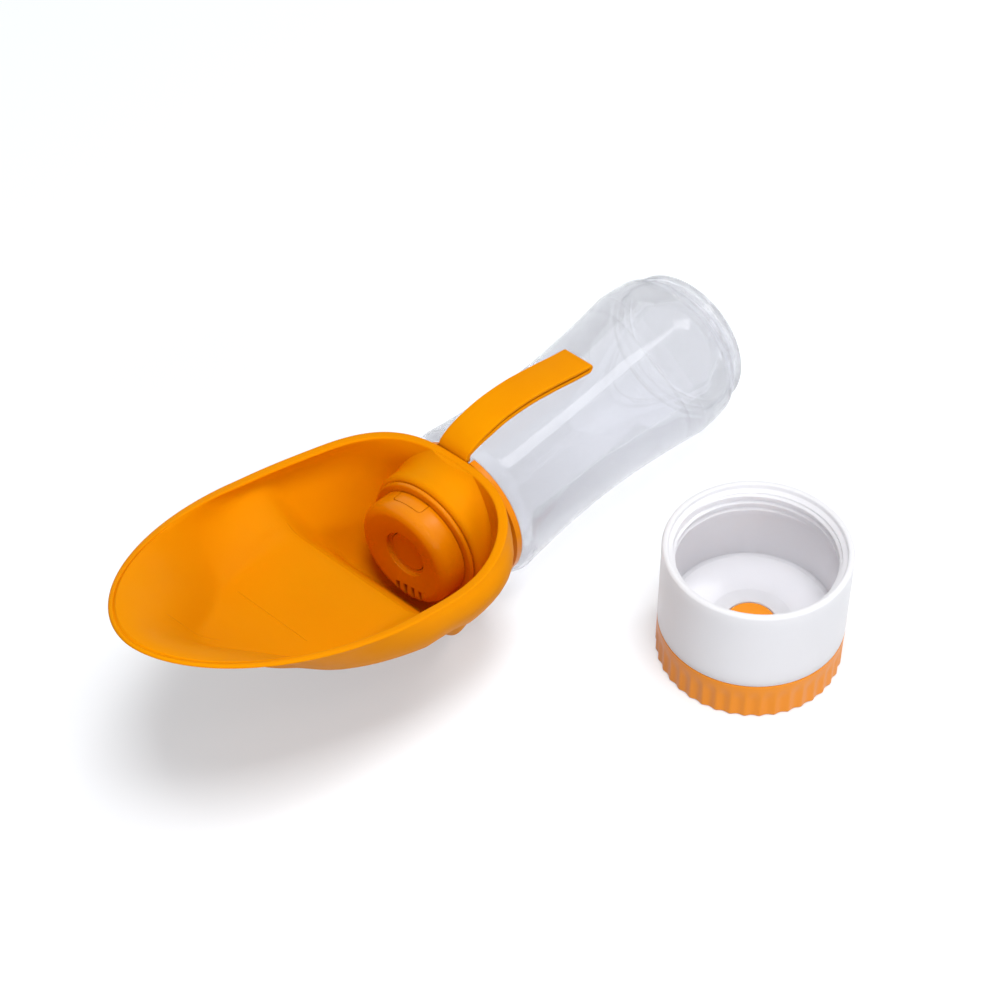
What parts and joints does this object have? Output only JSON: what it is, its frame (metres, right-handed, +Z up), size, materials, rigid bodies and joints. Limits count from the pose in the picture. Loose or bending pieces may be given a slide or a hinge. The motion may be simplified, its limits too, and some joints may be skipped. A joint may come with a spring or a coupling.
{
  "type": "dog travel water bottle",
  "caption": "Clear bottle lying on its side with a soft scoop bowl round its push valve, a carry strap, and a food cup with a screw base standing beside it.",
  "frame": {"origin": "centre of the bottle's threaded base end face, on the bottle's axis", "axes": "+X out of the bottle's base end, so the bowl lies towards -X; +Z up, with the bottle lying on its heel; the food cup stands towards -Y"},
  "size_m": [0.3341, 0.2185, 0.1031],
  "materials": {
    "clear_plastic": "clear, polished",
    "orange_silicone": "soft satin",
    "orange_plastic": "satin gloss",
    "white_plastic": "gloss",
    "white_inner": "satin",
    "seal_rubber": "soft",
    "spring_steel": "bright"
  },
  "bodies": {
    "bottle_body": {"bottle": "clear_plastic", "bowl": "orange_silicone", "retaining_ring": "orange_plastic"},
    "strap": {"strap_ring": "orange_plastic", "carry_strap": "orange_silicone"},
    "cap_carriage": {"neck_gasket": "seal_rubber"},
    "cap": {"cap_shell": "orange_plastic", "valve_seat": "white_inner", "vent_valve": "seal_rubber", "valve_spring": "spring_steel", "lock_spring": "spring_steel"},
    "button": {"push_button": "orange_plastic", "button_seal": "seal_rubber", "valve_stem": "white_inner", "valve_disc": "seal_rubber", "stem_clip": "spring_steel"},
    "lock": {"lock_button": "orange_plastic"},
    "cup_base": {"base_cap": "orange_plastic"},
    "cup_carriage": {"base_gasket": "seal_rubber"},
    "cup": {"food_cup": "white_plastic"}
  },
  "joints": [
    {"name": "strap_turn", "type": "hinge", "parent": "bottle_body", "child": "strap", "pos_m": [0, 0, 0], "axis": [1, 0, 0], "range_deg": [-90, 90]},
    {"name": "cap_rise", "type": "slide", "parent": "bottle_body", "child": "cap_carriage", "axis": [-1, 0, 0], "range_m": [0, 0.0031]},
    {"name": "cap_turn", "type": "hinge", "parent": "cap_carriage", "child": "cap", "pos_m": [-0.17, 0, 0], "axis": [-1, 0, 0], "range_deg": [0, 360]},
    {"name": "button_press", "type": "slide", "parent": "cap", "child": "button", "axis": [1, 0, 0], "range_m": [0, 0.0035], "stiffness_N_per_m": 600, "springref_m": -0.003, "deforming": ["valve_spring"]},
    {"name": "lock_press", "type": "slide", "parent": "cap", "child": "lock", "axis": [0, 0, -1], "range_m": [0, 0.0015], "stiffness_N_per_m": 600, "springref_m": -0.002, "deforming": ["lock_spring"]},
    {"name": "cup_lift", "type": "slide", "parent": "bottle_body", "child": "cup_base", "axis": [0, 0, 1], "range_m": [0, 0.12]},
    {"name": "cup_rise", "type": "slide", "parent": "cup_base", "child": "cup_carriage", "axis": [0, 0, 1], "range_m": [0, 0.0031]},
    {"name": "cup_turn", "type": "hinge", "parent": "cup_carriage", "child": "cup", "pos_m": [-0.1012, -0.1206, 0], "axis": [0, 0, 1], "range_deg": [0, 360]}
  ],
  "couplings": [
    {"joint": "cap_rise", "follows": "cap_turn", "m_per_rad": 0.00047746},
    {"joint": "cup_rise", "follows": "cup_turn", "m_per_rad": 0.00047746}
  ]
}
